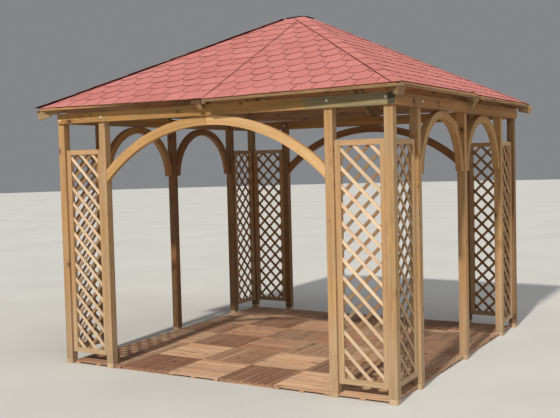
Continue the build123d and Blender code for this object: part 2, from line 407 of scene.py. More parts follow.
def wood(name, light, dark, warm, late, knot, grey, age=0.35, knot_size=0.115, ring=0.0058,
         bright=0.30, rough=0.74, rings=0.45, crack=0.5, damp=0.0, stain=None, marks=(), low=None):
    t = Tree(name)
    g = t.attr("grain")
    tx, ty, tz = t.sep(t.attr("tone"))
    pos = t.place()
    # slow wander of the fibres along the timber
    wob = t.noise(t.vec("MULTIPLY", g, (1.6, 6.0, 6.0)), 1.0, 2.0, 0.5, color=True)
    wx, wy, _ = t.sep(wob)
    # knots, with the grain bent round them
    kd, kc = t.voronoi(t.vec("MULTIPLY", g, (5.6, 9.5, 9.5)))
    _, kr, _ = t.sep(kc)
    kd = t.math("ADD", kd, t.math("MULTIPLY", t.noise(g, 90.0, 2.0), 0.03))
    size = t.math("MULTIPLY", t.math("ADD", kr, 0.35), knot_size)
    heart = t.ramp(t.math("SUBTRACT", size, kd), -0.02, 0.02)
    halo = t.ramp(t.math("SUBTRACT", t.math("MULTIPLY", size, 3.0), kd), 0.0, knot_size * 2.2)
    _, a, b = t.sep(g)
    a2 = t.math("ADD", t.math("ADD", a, t.math("MULTIPLY", t.math("SUBTRACT", wx, 0.5), 0.045)),
                t.math("MULTIPLY", halo, 0.007))
    b2 = t.math("ADD", b, t.math("MULTIPLY", t.math("SUBTRACT", wy, 0.5), 0.045))
    rad = t.math("SQRT", t.math("ADD", t.math("MULTIPLY", a2, a2), t.math("MULTIPLY", b2, b2)))
    rad = t.math("ADD", rad, t.math("MULTIPLY", t.noise(t.vec("MULTIPLY", g, (8.0, 60.0, 60.0)), 1.0, 2.0), 0.0022))
    saw = t.math("FRACT", t.math("DIVIDE", rad, ring))
    lw = t.math("MULTIPLY", t.ramp(saw, 0.25, 0.86), t.ramp(saw, 1.0, 0.93))
    band = t.noise(t.math("DIVIDE", rad, ring * 2.3), 1.0, 1.0)
    # streaks of several widths
    s1 = t.noise(t.vec("MULTIPLY", g, (0.9, 24.0, 24.0)), 1.0, 2.5, 0.55)
    s2 = t.noise(t.vec("MULTIPLY", g, (3.4, 115.0, 115.0)), 1.0, 3.0, 0.6)
    s3 = t.noise(t.vec("MULTIPLY", g, (22.0, 700.0, 700.0)), 1.0, 2.0, 0.6)
    s = t.math("ADD", t.math("MULTIPLY", s1, 0.55), t.math("MULTIPLY", s2, 0.45))
    s = t.ramp(s, 0.36, 0.64)
    col = t.mix(s, dark, light)
    col = t.mix(t.math("MULTIPLY", t.ramp(ty, 0.15, 1.0), 0.75), col, t.mix(s, t.scaled(warm, 0.72), warm))
    col = t.mix(t.math("MULTIPLY", t.math("MULTIPLY", lw, t.ramp(band, 0.3, 0.7, 0.4, 1.0)), rings), col, late)
    col = t.mix(t.math("MULTIPLY", halo, 0.40), col, t.mix(0.35, late, knot))
    col = t.mix(t.math("MULTIPLY", heart, 0.88), col, knot)
    # fibres and the timber's own brightness
    k = t.math("ADD", t.ramp(s3, 0.3, 0.7, 0.93, 1.06, False), t.math("MULTIPLY", t.math("SUBTRACT", tx, 0.5), bright))
    col = t.scaled(col, k)
    # weathering: patches that run with the grain, and more of it on older timbers
    w1 = t.noise(t.vec("MULTIPLY", g, (2.2, 14.0, 14.0)), 1.0, 3.0, 0.6)
    w2 = t.noise(pos, 2.3, 2.0)
    w = t.ramp(t.math("ADD", t.math("ADD", t.math("MULTIPLY", w1, 0.6), t.math("MULTIPLY", w2, 0.4)),
                      t.math("MULTIPLY", t.math("SUBTRACT", tz, 0.5), 0.30)), 0.44, 0.68)
    col = t.mix(t.math("MULTIPLY", w, age), col, grey)
    if stain:
        sm = t.math("MULTIPLY", t.attr("edge", "Fac"), t.ramp(w1, 0.30, 0.62, 0.62, 1.0))
        col = t.mix(sm, col, t.mix(t.ramp(s2, 0.35, 0.65), t.scaled(stain, 0.78), stain))
    for (mx, my, mz), (sx, sy, sz), tail in marks:
        # one knot with the grain drawn round it
        off = t.vec("DIVIDE", t.vec("SUBTRACT", pos, (mx, my, mz)), (sx, sy, sz))
        md = t.math("ADD", t.vec("LENGTH", off), t.math("MULTIPLY", t.noise(pos, 150.0, 2.0), 0.5))
        col = t.mix(t.ramp(md, 0.9, 2.9, 0.45, 0.0), col, t.scaled(late, 0.8))
        col = t.mix(t.ramp(md, 0.75, 1.35, tail, 0.0), col, t.scaled(knot, 0.8))
    if low:
        # bleached towards the ground
        _, _, lz = t.sep(pos)
        lw2 = t.math("MULTIPLY", t.ramp(lz, 0.05, 1.1, 0.75, 0.0), t.ramp(w1, 0.25, 0.6, 0.6, 1.0))
        col = t.mix(lw2, col, t.mix(s, t.scaled(low, 0.82), low))
    if damp > 0:
        # darker and dirtier near the ground
        _, _, pz = t.sep(pos)
        low = t.math("MULTIPLY", t.ramp(pz, 0.02, 0.30, 1.0, 0.0),
                     t.ramp(t.noise(t.vec("MULTIPLY", pos, (22.0, 22.0, 7.0)), 1.0, 3.0), 0.35, 0.62))
        col = t.mix(t.math("MULTIPLY", low, damp), col, t.scaled(grey, 0.55))
    # drying checks along the grain
    c1 = t.noise(t.vec("MULTIPLY", g, (1.7, 85.0, 85.0)), 1.0, 1.0)
    c2 = t.noise(t.vec("MULTIPLY", g, (2.6, 9.0, 9.0)), 1.0, 1.0)
    line = t.math("MULTIPLY", t.ramp(t.math("ABSOLUTE", t.math("SUBTRACT", c1, 0.5)), 0.004, 0.012, 1.0, 0.0),
                  t.ramp(c2, 0.57, 0.66))
    line = t.math("MULTIPLY", line, crack)
    col = t.mix(line, col, t.scaled(knot, 0.55))
    rg = t.ramp(s2, 0.3, 0.7, rough - 0.07, rough + 0.08, False)
    h = t.math("ADD", t.math("MULTIPLY", s3, 0.35), t.math("MULTIPLY", lw, 0.35))
    h = t.math("ADD", h, t.math("MULTIPLY", s2, 0.5))
    h = t.math("SUBTRACT", h, t.math("MULTIPLY", line, 1.6))
    return t.done(col, rg, t.bump(h, 0.55, 0.0008), spec=0.28)


post_wood = wood("post_wood", lin(190, 155, 108), lin(166, 124, 80), lin(184, 136, 88), lin(142, 96, 54),
                 lin(84, 48, 26), lin(160, 146, 122), age=0.42, damp=0.35, low=lin(181, 154, 123))
# darker copy of the post wood for the back and left posts: painted shade
post_wood_painted_shade = wood("post_wood_painted_shade", lin(150, 118, 82), lin(124, 90, 58), lin(140, 96, 62), lin(104, 68, 38),
                 lin(66, 38, 20), lin(122, 108, 86), age=0.42, damp=0.35)
foot_wood = wood("foot_wood", lin(194, 169, 138), lin(175, 146, 113), lin(188, 154, 120), lin(150, 118, 87),
                 lin(110, 70, 40), lin(180, 164, 140), age=0.5, knot_size=0.05)
lattice_wood = wood("lattice_wood", lin(196, 160, 118), lin(172, 134, 94), lin(190, 146, 104), lin(150, 110, 72),
                    lin(104, 60, 30), lin(170, 152, 126), age=0.35, knot_size=0.07, ring=0.0045,
                    low=lin(182, 158, 127))
# paler copy for the outer slats of the front panels: painted sunlight
lattice_slat_painted_sunlit = wood("lattice_slat_painted_sunlit", lin(226, 204, 174), lin(204, 176, 142), lin(222, 184, 154), lin(184, 148, 112),
                    lin(132, 84, 50), lin(200, 182, 154), age=0.25, knot_size=0.06, ring=0.0045,
                    low=lin(196, 171, 140))
lattice_inner = wood("lattice_inner", lin(162, 130, 96), lin(136, 103, 70), lin(152, 112, 78), lin(108, 76, 48),
                     lin(78, 46, 26), lin(126, 116, 94), age=0.5, knot_size=0.07, ring=0.0045)
arch_wood = wood("arch_wood", lin(194, 159, 109), lin(170, 130, 79), lin(189, 141, 87), lin(150, 103, 57),
                 lin(104, 60, 28), lin(168, 142, 102), age=0.22, knot_size=0.08)
arch_pale = wood("arch_pale", lin(216, 180, 132), lin(196, 156, 106), lin(212, 164, 114), lin(175, 129, 80),
                 lin(118, 70, 34), lin(196, 168, 126), age=0.2, knot_size=0.08)
# darker copies of the arch wood: deep painted shade for the back and left arches, half painted shade for the right
# arches and the left front one
arch_wood_deep_painted_shade = wood("arch_wood_deep_painted_shade", lin(150, 112, 72), lin(126, 86, 52), lin(140, 92, 56), lin(104, 66, 36),
                 lin(70, 40, 20), lin(122, 104, 80), age=0.35, knot_size=0.08)
arch_wood_half_painted_shade = wood("arch_wood_half_painted_shade", lin(186, 148, 98), lin(160, 116, 70), lin(176, 126, 76), lin(136, 90, 48),
                 lin(88, 50, 24), lin(150, 132, 102), age=0.35, knot_size=0.08)
beam_wood = wood("beam_wood", lin(184, 142, 86), lin(152, 111, 62), lin(174, 120, 74), lin(120, 82, 44),
                 lin(72, 40, 22), lin(128, 118, 88), age=0.8, damp=0.0, bright=0.25, stain=lin(130, 126, 98),
                 marks=[((-0.266, -1.638, 2.208), (0.0090, 0.02, 0.0090), 0.95),
                        ((0.353, -1.638, 2.240), (0.012, 0.02, 0.010), 0.8),
                        ((-1.204, -1.638, 2.230), (0.008, 0.02, 0.008), 0.75),
                        ((1.650, -1.290, 2.206), (0.02, 0.020, 0.017), 0.85),
                        ((1.650, -1.268, 2.184), (0.02, 0.012, 0.012), 0.7),
                        ((1.650, -0.768, 2.216), (0.02, 0.020, 0.014), 0.85),
                        ((1.650, -0.752, 2.188), (0.02, 0.012, 0.015), 0.7)])
# front end grain of the right beam: dark weathered end grain with painted shade
beam_end_weathered_and_shaded = wood("beam_end_weathered_and_shaded", lin(84, 84, 66), lin(62, 62, 50), lin(80, 74, 56), lin(52, 50, 40), lin(40, 34, 26),
                lin(78, 82, 68), age=0.6, rings=0.6)
tail_wood = wood("tail_wood", lin(132, 100, 72), lin(108, 80, 56), lin(122, 88, 62), lin(92, 62, 40), lin(70, 40, 22),
                 lin(124, 108, 86), age=0.4, rings=0.6)
batten_end = wood("batten_end", lin(206, 168, 142), lin(186, 144, 116), lin(200, 152, 124), lin(160, 116, 90),
                  lin(110, 70, 50), lin(176, 156, 136), age=0.3, rings=0.5)
rafter_wood = wood("rafter_wood", lin(176, 146, 106), lin(140, 104, 68), lin(150, 106, 68), lin(112, 76, 44),
                   lin(70, 40, 22), lin(140, 128, 104), age=0.4)
board_wood = wood("board_wood", lin(190, 144, 98), lin(156, 107, 67), lin(171, 111, 71), lin(121, 80, 48),
                  lin(60, 32, 18), lin(128, 112, 86), age=0.3, knot_size=0.13, stain=lin(88, 60, 40))
eave_wood = wood("eave_wood", lin(152, 124, 86), lin(130, 100, 66), lin(140, 104, 70), lin(106, 76, 46),
                 lin(62, 36, 20), lin(126, 114, 88), age=0.5, knot_size=0.13)
deck_wood = wood("deck_wood", lin(206, 170, 138), lin(168, 129, 99), lin(152, 102, 78), lin(124, 84, 60),
                 lin(66, 40, 29), lin(168, 152, 132), age=0.35, bright=0.55, crack=0.7, rings=0.3)


def covering(name, base, alt, deep, pale):
    # mineral granules on felt
    t = Tree(name)
    pos = t.place()
    tx, ty, tz = t.sep(t.attr("tone"))
    edge = t.attr("edge", "Fac")
    d, c = t.voronoi(pos, 620.0)
    cr, cg, cb = t.sep(c)
    blot = t.noise(pos, 5.5, 3.0, 0.6)
    fine = t.noise(pos, 60.0, 3.0, 0.65)
    col = t.mix(t.ramp(t.math("ADD", t.math("MULTIPLY", blot, 0.6), t.math("MULTIPLY", tx, 0.4)), 0.25, 0.75), base, alt)
    col = t.mix(t.ramp(cr, 0.72, 1.0, 0.0, 0.55), col, pale)
    col = t.mix(t.ramp(cg, 0.74, 1.0, 0.0, 0.60), col, deep)
    col = t.scaled(col, t.math("ADD", t.ramp(fine, 0.3, 0.7, 0.93, 1.07, False),
                               t.math("MULTIPLY", t.math("SUBTRACT", ty, 0.5), 0.06)))
    # darker band along the cut edges, partly the felt's own dark edge and dirt, partly painted shade under the tab
    # edges: distance from the middle line, from the lower end, half width
    gx, gy, gz = t.sep(t.attr("grain"))
    side = t.math("SUBTRACT", gz, t.math("ABSOLUTE", gx))
    px = t.math("MAXIMUM", t.math("SUBTRACT", 1.0, t.math("DIVIDE", side, 0.058)), 0.0)
    py = t.math("MAXIMUM", t.math("SUBTRACT", 1.0, t.math("DIVIDE", gy, 0.064)), 0.0)
    rr = t.math("SQRT", t.math("ADD", t.math("MULTIPLY", px, px), t.math("MULTIPLY", py, py)))
    dist = t.math("MULTIPLY", t.math("SUBTRACT", 1.0, rr), 0.060)
    cut = t.math("MULTIPLY", t.ramp(dist, 0.0040, 0.0095, 1.0, 0.0), t.ramp(gy, 0.02, 0.07, 1.0, 0.5))
    cut = t.math("MULTIPLY", cut, t.ramp(tz, 0.2, 0.95, 0.22, 1.0))
    e = t.math("MAXIMUM", edge, cut)
    e = t.math("MULTIPLY", e, t.ramp(t.noise(pos, 38.0, 2.0), 0.25, 0.6, 0.6, 1.0))
    col = t.mix(e, col, t.scaled(deep, 0.62))
    # darker still where the edge mark goes past 1: the painted shadow line along the lap, and the seam
    col = t.mix(t.math("SUBTRACT", edge, 1.0, clamp=True), col, t.scaled(deep, 0.30))
    h = t.math("ADD", t.ramp(d, 0.0, 0.6, 1.0, 0.0), t.math("MULTIPLY", fine, 0.5))
    if "Diffuse Roughness" in t.b.inputs:
        t.b.inputs["Diffuse Roughness"].default_value = 1.0
    return t.done(col, t.ramp(fine, 0.3, 0.7, 0.84, 0.96, False), t.bump(h, 0.7, 0.0009), spec=0.22)


cover_red = covering("roof_covering", lin(188, 118, 112), lin(180, 108, 102), lin(142, 80, 74), lin(213, 162, 156))


def felt_edge(name):
    t = Tree(name)
    pos = t.place()
    n = t.noise(pos, 240.0, 3.0, 0.6)
    col = t.mix(t.ramp(n, 0.35, 0.65), lin(98, 50, 46), lin(132, 74, 68))
    return t.done(col, t.ramp(n, 0.3, 0.7, 0.7, 0.9, False), t.bump(n, 0.5, 0.0006), spec=0.3)


felt = felt_edge("felt_edge")


def bitumen_back(name):
    # the sanded underside of the felt
    t = Tree(name)
    pos = t.place()
    n = t.noise(pos, 310.0, 3.0, 0.6)
    col = t.mix(t.ramp(n, 0.35, 0.65), lin(40, 36, 38), lin(68, 58, 60))
    return t.done(col, t.ramp(n, 0.3, 0.7, 0.75, 0.92, False), t.bump(n, 0.4, 0.0005), spec=0.25)


bitumen = bitumen_back("felt_back")


def zinc(name):
    t = Tree(name)
    pos = t.place()
    n = t.noise(pos, 320.0, 3.0, 0.6)
    d, c = t.voronoi(pos, 260.0)
    cr, _, _ = t.sep(c)
    col = t.mix(t.ramp(cr, 0.0, 1.0), lin(222, 224, 224), lin(244, 245, 243))
    col = t.mix(t.ramp(n, 0.64, 0.78, 0.0, 0.4), col, lin(150, 128, 104))
    return t.done(col, t.ramp(n, 0.3, 0.7, 0.36, 0.52, False), t.bump(n, 0.25, 0.0003), spec=0.5, metal=0.25)


zinc_steel = zinc("bolt_steel")

SIDES = ["front", "right", "back", "left"]
CORNERS = ["front_right", "back_right", "back_left", "front_left"]

# ----------------------------------------------------------------- posts
def side_post(name, x, q, tn):
    pc = Piece()
    T = turn(q)
    post_prof = [(-HALF, FOOT_H), (-HALF + POST, FOOT_H), (-HALF + POST, BEAM_Z1), (-INNER[q], BEAM_Z1),
                 (-INNER[q], BEAM_Z0), (-HALF, BEAM_Z0)]
    prism(pc, post_prof, x - POST / 2, x + POST / 2, lambda p, z, w: T((w, p, z)),
          lambda p, z, w: (z, w - x, p + A), tn, r=0.0022, cap=0.0032)
    # back and left posts take the darker copy: painted shade
    return pc.make(name + "_timber", [post_wood if q < 2 else post_wood_painted_shade], "post_wood", [name])


def corner_post(name, q, tn):
    pc = Piece()
    T = turn(q)
    timber(pc, HALF - POST, HALF, -HALF, -HALF + POST, FOOT_H, BEAM_Z0, "z", tn, T, r=0.0036)
    timber(pc, HALF - POST, INNER[(q + 1) % 4], -INNER[q], -HALF + POST, BEAM_Z0 - 0.004, BEAM_Z1, "z", tn, T,
           r=0.0022)
    # the back corner posts take the darker copy: painted shade
    return pc.make(name + "_timber", [post_wood_painted_shade if q in (1, 2) else post_wood], "post_wood", [name])


for q, c in enumerate(CORNERS):
    corner_post("post_corner_" + c, q, tone(near(0.5, 0.25), near(0.35, 0.3), near(0.55, 0.3)))
BESIDE = {"front": ("left", "right"), "right": ("front", "back"), "back": ("right", "left"), "left": ("back", "front")}
for q, side in enumerate(SIDES):
    lo, hi = BESIDE[side]
    side_post(f"post_{side}_beside_{lo}", -B, q, tone(near(0.5, 0.3), near(0.4, 0.35), near(0.5, 0.3)))
    side_post(f"post_{side}_beside_{hi}", B, q, tone(near(0.5, 0.3), near(0.4, 0.35), near(0.5, 0.3)))
side_post("post_right_middle", 0.0, 1, tone(0.5, 0.75, 0.35))
side_post("post_left_middle", 0.0, 3, tone(0.4, 0.6, 0.4))

pc = Piece()
foot_spots = []
for q in range(4):
    T = turn(q)
    spots = [(A, -A), (-B, -A), (B, -A)] + ([(0.0, -A)] if q in (1, 3) else [])
    for x, y in spots:
        h = FOOT_W / 2
        timber(pc, x - h, x + h, y - h, y + h, 0.0, FOOT_H, "x" if rng.random() < 0.5 else "y",
               tone(near(0.55, 0.3), near(0.3, 0.3), near(0.5, 0.3)), T, r=0.0028)
        foot_spots.append(T((x, y, 0.0)))
pc.make("foot_blocks", [foot_wood], "foot_wood", ["post_feet"])

# ------------------------------------------------------------ ring beams
beam_tones = [(0.82, 0.25, 0.30), (0.42, 0.8, 0.3), (0.5, 0.5, 0.5), (0.5, 0.4, 0.6)]
beam_runs = [("x", -BEAM_END, RIGHT_IN - 0.0004, -BEAM_OUT, -BEAM_IN),
             ("y", RIGHT_IN, RIGHT_OUT, -BEAM_OUT - 0.002, BEAM_IN),
             ("x", -BEAM_IN, RIGHT_IN, BEAM_IN, BEAM_OUT),
             ("y", -BEAM_LEFT, -BEAM_IN, -BEAM_IN, BEAM_OUT)]


def smooth01(x):
    x = min(1.0, max(0.0, x))
    return x * x * (3 - 2 * x)


def front_weather(a, b, w):
    # greyer towards the right end
    return 0.9 * smooth01((w - 0.86) / 0.10)


for q, side in enumerate(SIDES):
    axis, bx0, bx1, by0, by1 = beam_runs[q]
    bz1 = BACK_Z1 if q == 2 else BEAM_Z1
    pc = Piece()
    gs = -1 if q in (0, 3) else 1
    if axis == "x":
        prism(pc, rect(by0, by1, BEAM_Z0, bz1), bx0, bx1, lambda p, z, w: (w, p, z),
              lambda p, z, w, gs=gs: (w, p - gs * 1.6, z - 2.2), beam_tones[q], r=0.0030, cap=0.0025,
              steps=[-1.2, -0.8, -0.4, 0, 0.4, 0.8, 0.86, 0.90, 0.94, 0.98, 1.2],
              stain=front_weather if q == 0 else None)
    else:
        prism(pc, rect(bx0, bx1, BEAM_Z0, bz1), by0, by1, lambda p, z, w: (p, w, z),
              lambda p, z, w, gs=gs: (w, p - gs * 1.6, z - 2.2), beam_tones[q], r=0.0034, cap=0.0025,
              steps=[-1.2, -0.8, -0.4, 0, 0.4, 0.8, 1.2], end_mi=(1, 0))
    pc.make(f"ring_beam_{side}", [beam_wood, beam_end_weathered_and_shaded], "beam_wood", [f"beam_{side}"])


# Domed bolt heads on washers outside, nuts on washers inside.
def disc_stack(pc, levels, centre, axis_map, n, mi=0):
    co, gr = [], []
    for rr, h in levels:
        for i in range(n):
            t = 2 * math.pi * i / n
            p = axis_map(rr * math.cos(t), rr * math.sin(t), h)
            co.append(tuple(centre[k] + p[k] for k in range(3)))
            gr.append((h, rr, t))
    faces = []
    for k in range(len(levels) - 1):
        for i in range(n):
            j = (i + 1) % n
            faces.append([k * n + i, k * n + j, (k + 1) * n + j, (k + 1) * n + i])
    faces.append(list(range(n - 1, -1, -1)))
    m = (len(levels) - 1) * n
    faces.append([m + i for i in range(n)])
    pc.add(co, faces, gr, tone(), mi)


bolt_spots = [[(-1.577, 2.194), (-1.091, 2.206), (1.104, 2.219), (1.573, 2.221)],
              [(-1.107, 2.209)],
              [(-A, 2.208), (-B, 2.212), (B, 2.206), (A, 2.214)],
              [(-A, 2.204), (-B, 2.210), (0.0, 2.207), (B, 2.212)]]
pc = Piece()
for q in range(4):
    T = turn(q)
    for x, z in bolt_spots[q]:
        out = lambda a, b, h, T=T: T((a, -h, b))
        inn = lambda a, b, h, T=T: T((a, h, b))
        c = T((x, -FACE[q], z))
        disc_stack(pc, [(0.0092, 0.0), (0.0096, 0.0004), (0.0096, 0.0012), (0.0092, 0.0016)], c, out, 24)
        disc_stack(pc, [(0.0064, 0.0012), (0.0068, 0.0020), (0.0062, 0.0034), (0.0048, 0.0046), (0.0026, 0.0054),
                        (0.0008, 0.0056)], c, out, 20)
        xi = x if abs(x) < 1.5 else math.copysign(HALF - POST + 0.020, x)
        c = T((xi, -HALF + POST, z))
        disc_stack(pc, [(0.0098, 0.0), (0.0103, 0.0004), (0.0103, 0.0012), (0.0098, 0.0016)], c, inn, 24)
        disc_stack(pc, [(0.0072, 0.0012), (0.0076, 0.0018), (0.0076, 0.0066), (0.0066, 0.0075)], c, inn, 6)
        disc_stack(pc, [(0.0040, 0.0060), (0.0040, 0.0100), (0.0034, 0.0108)], c, inn, 16)
pc.make("beam_bolts", [zinc_steel], "bolt_steel")


# ------------------------------------------------------------- trellises
def clip(poly, nx, ny, c):
    # the part of a convex outline where nx*x + ny*y <= c
    out, n = [], len(poly)
    for i in range(n):
        p, q = poly[i - 1], poly[i]
        dp, dq = nx * p[0] + ny * p[1] - c, nx * q[0] + ny * q[1] - c
        if (dp <= 0) != (dq <= 0):
            t = dp / (dp - dq)
            out.append((p[0] + (q[0] - p[0]) * t, p[1] + (q[1] - p[1]) * t))
        if dq <= 0:
            out.append(q)
    clean = []
    for p in out:
        if not clean or math.hypot(p[0] - clean[-1][0], p[1] - clean[-1][1]) > 1e-5:
            clean.append(p)
    if len(clean) > 1 and math.hypot(clean[0][0] - clean[-1][0], clean[0][1] - clean[-1][1]) <= 1e-5:
        clean.pop()
    return clean if len(clean) >= 3 else []


def area_of(poly):
    return 0.5 * sum(poly[i - 1][0] * poly[i][1] - poly[i][0] * poly[i - 1][1] for i in range(len(poly)))


def trellis(name, cx, q):
    pc = Piece()
    T = turn(q)
    x0, x1 = cx - GAP / 2, cx + GAP / 2
    y0, y1 = -HALF + TR_BACK, -HALF + TR_BACK + TR_T
    zc = (TR_Z0 + TR_Z1) / 2
    base = near(0.5, 0.1)

    def tn(warm=0.35):
        return tone(near(base, 0.22), near(warm, 0.3), near(0.45, 0.3))

    timber(pc, x0 + 0.0004, x0 + TR_STILE, y0, y1, TR_Z0, TR_Z1, "z", tn(), T, r=0.0018)
    timber(pc, x1 - TR_STILE, x1 - 0.0004, y0, y1, TR_Z0, TR_Z1, "z", tn(), T, r=0.0018)
    for z0 in (TR_Z0, TR_Z1 - TR_RAIL):
        timber(pc, x0 + TR_STILE, x1 - TR_STILE, y0 + 0.0006, y1 - 0.0006, z0, z0 + TR_RAIL, "x", tn(), T,
               r=0.0016, cap=0.0006)
    iw, ih = GAP / 2 - TR_STILE + 0.004, (TR_Z1 - TR_Z0) / 2 - TR_RAIL + 0.004
    mid = -HALF + TR_BACK + TR_T / 2
    n = int((TR_Z1 - TR_Z0) / SLAT_PITCH) + 4
    root = math.sqrt(0.5)
    for sign, phase, ya, yb in ((-1, 0.0, mid - SLAT_T, mid), (1, -0.015, mid, mid + SLAT_T)):
        for i in range(-n, n + 1):
            c = i * SLAT_PITCH + phase + rng.uniform(-0.0015, 0.0015)
            L, h = 1.2, SLAT_W / 2
            ux, uz, vx, vz = root, root * sign, -root * sign, root
            poly = [(-L * ux - h * vx, c - L * uz - h * vz), (L * ux - h * vx, c + L * uz - h * vz),
                    (L * ux + h * vx, c + L * uz + h * vz), (-L * ux + h * vx, c - L * uz + h * vz)]
            for nx, ny, lim in ((1, 0, iw), (-1, 0, iw), (0, 1, ih), (0, -1, ih)):
                poly = clip(poly, nx, ny, lim) if poly else poly
            if len(poly) < 3 or abs(area_of(poly)) < 2e-4:
                continue
            # outer slats of the front panels take the paler painted-sunlight copy
            prism(pc, poly, ya + 0.0001, yb - 0.0001, lambda p, z, w: T((cx + p, w, zc + z)),
                  lambda p, z, w: (p * ux + z * uz, p * vx + z * vz, w), tn(0.4), r=0.0008, seg=1, cap=0.0009,
                  mi=3 if sign < 0 and q == 0 else (0 if sign < 0 else 2))
    # small pins where the slats cross
    for i in range(-n, n + 1):
        for j in range(-n, n + 1):
            # outer slat: z = -x + i*pitch, inner slat: z = x + j*pitch - 0.015
            x = (i * SLAT_PITCH - j * SLAT_PITCH + 0.015) / 2
            z = -x + i * SLAT_PITCH
            if abs(x) < iw - 0.02 and abs(z) < ih - 0.02:
                c = T((cx + x, mid - SLAT_T, zc + z))
                disc_stack(pc, [(0.0013, -0.0006), (0.0013, 0.0003), (0.0008, 0.0006)], c,
                           lambda a, b, h: T((a, -h, b)), 6, 1)
    return pc.make(name + "_panel", [lattice_wood, zinc_steel, lattice_inner, lattice_slat_painted_sunlit], "lattice_wood", [name])


off = B + POST / 2 + GAP / 2
for q, side in enumerate(SIDES):
    a, b = BESIDE[side]
    trellis(f"trellis_{side}_{a}", -off, q)
    trellis(f"trellis_{side}_{b}", off, q)

# ---------------------------------------------------------------- arches
AY0 = -HALF + ARCH_BACK
AY1 = AY0 + ARCH_T
SY1 = AY0 + SIDE_T


def arch_band(pc, T, cx, cz, r_in, r_out, ang, tn, a0, a1, steps, y0=AY0, y1=AY1, ease=0.0026, mi=0):
    # a curved band; ang(r, t) gives the angle from the crown at radius r for t from 0 to 1
    base = round_poly(rect(r_in, r_out, y0, y1), ease, 2)
    small = inset(base, 0.0012)
    rm = (r_in + r_out) / 2
    sections, grains = [], []
    ts = [a0 + (a1 - a0) * k / steps for k in range(steps + 1)]
    eps = 0.0012 / (rm * abs(ang(rm, 1.0) - ang(rm, 0.0)))
    for k, t in enumerate([ts[0]] + [ts[0] + eps] + ts[1:-1] + [ts[-1] - eps] + [ts[-1]]):
        ring = small if k in (0, steps + 2) else base
        sec, gr = [], []
        for r, y in ring:
            th = ang(r, t)
            sec.append(T((cx + r * math.sin(th), y, cz + r * math.cos(th))))
            gr.append((rm * th, r - rm, y - (y0 + y1) / 2))
        sections.append(sec)
        grains.append(gr)
    sweep(pc, sections, grains, tn, mi)


def wide_arch(name, q, node):
    pc = Piece()
    T = turn(q)
    cz = BEAM_Z0 - WIDE_OUT
    for s in (-1, 1):
        g = 0.0007

        def ang(r, t, s=s):
            th0, th1 = g / r, math.asin(B_IN / r)
            return s * (th0 + (th1 - th0) * t)

        arch_band(pc, T, 0.0, cz, WIDE_IN, WIDE_OUT, ang, tone(near(0.6, 0.12), near(0.5, 0.2), 0.25), 0.0, 1.0, 44,
                  mi=1 if s > 0 else 0)
    # the back arch takes the deep painted-shade copy
    return pc.make(name, [arch_wood, arch_pale] if q == 0 else [arch_wood_deep_painted_shade, arch_wood_deep_painted_shade], "arch_wood", [node])


wide_arch("wide_arch_front", 0, "arch_front")
wide_arch("wide_arch_back", 2, "arch_back")

span = B_IN - POST / 2
r_out = span / 2
cz_side = BEAM_Z0 - r_out


def narrow_arch(name, q, c, node):
    pc = Piece()
    T = turn(q)
    lift = SIDE_FOOT - cz_side

    def ang(r, t):
        th = math.acos(lift / r)
        return -th + 2 * th * t

    cuts = [0.0, 0.5, 1.0]
    for k in range(2):
        gap = 0.0005
        a0 = cuts[k] + (gap if k else 0.0)
        a1 = cuts[k + 1] - (0.0 if k else gap)
        r1 = r_out if k == 0 else r_out - 0.0012
        arch_band(pc, T, c, cz_side, r_out - BAND, r1, ang, tone(near(0.5, 0.2), near(0.45, 0.3), near(0.4, 0.3)),
                  a0, a1, 26, y1=SY1)
    if node == "arch_right_front":
        # the thicker ear on the outer curve
        ear = [(-0.345, 2.085), (-0.330, 2.1145), (-0.216, 2.0755), (-0.198, 2.0575), (-0.149, 1.971), (-0.160, 1.958),
               (-0.230, 2.030), (-0.290, 2.070)]
        prism(pc, ear, AY0 + 0.0012, SY1 - 0.0012, lambda p, z, w: T((p, w, z)),
              lambda p, z, w: (0.7 * p - 0.7 * z, 0.7 * p + 0.7 * z - 1.3, w), tone(0.55, 0.5, 0.4), r=0.002, cap=0.0016)
    # right arches and the left front one take the half painted-shade copy, the others the deep painted-shade copy
    return pc.make(name, [arch_wood_half_painted_shade if q == 1 or node == "arch_left_front" else arch_wood_deep_painted_shade], "arch_wood", [node])


c_side = POST / 2 + span / 2
narrow_arch("narrow_arch_right_back", 1, c_side, "arch_right_back")
narrow_arch("narrow_arch_right_front", 1, -c_side, "arch_right_front")
narrow_arch("narrow_arch_left_front", 3, c_side, "arch_left_front")
narrow_arch("narrow_arch_left_back", 3, -c_side, "arch_left_back")


# ---------------------------------------------------------- roof timbers
def rafter(pc, T, top_at, slope, start, end, depth, width, seat, tn, tail=None, level=None, end_mi=1):
    # falls away along +X; square-cut tail; notched over the beam
    a = math.atan(slope)
    low = depth / math.cos(a)
    z0, z1 = top_at(start), top_at(end)
    bot = lambda d: top_at(d) - low
    t = tail or depth
    pts = [(start, z0), (end, z1), (end - t * math.sin(a), z1 - t * math.cos(a))]
    if seat:
        lv = (level or BEAM_Z1) + 0.0003
        d1 = seat
        d0 = start + (bot(start) - lv) / slope
        if bot(d1) < lv - 0.0005:
            pts += [(d1, bot(d1)), (d1, lv), (d0, lv)]
    pts.append((start, bot(start)))
    ca, sa = math.cos(a), math.sin(a)
    def wall(a1, b1):
        # the sawn tail end
        dx, dz = b1[0] - a1[0], b1[1] - a1[1]
        square = abs(dx * sa + dz * ca) > 0.8 * math.hypot(dx, dz)
        return end_mi if square and a1[0] > end - 0.08 and b1[0] > end - 0.08 else 0

    prism(pc, pts, -width / 2, width / 2, lambda p, z, w: T((p, w, z)),
          lambda p, z, w: (p * ca - z * sa, p * sa + z * ca - 2.9, w), tn, r=0.0018, seg=2, cap=0.0024, wall_mi=wall)


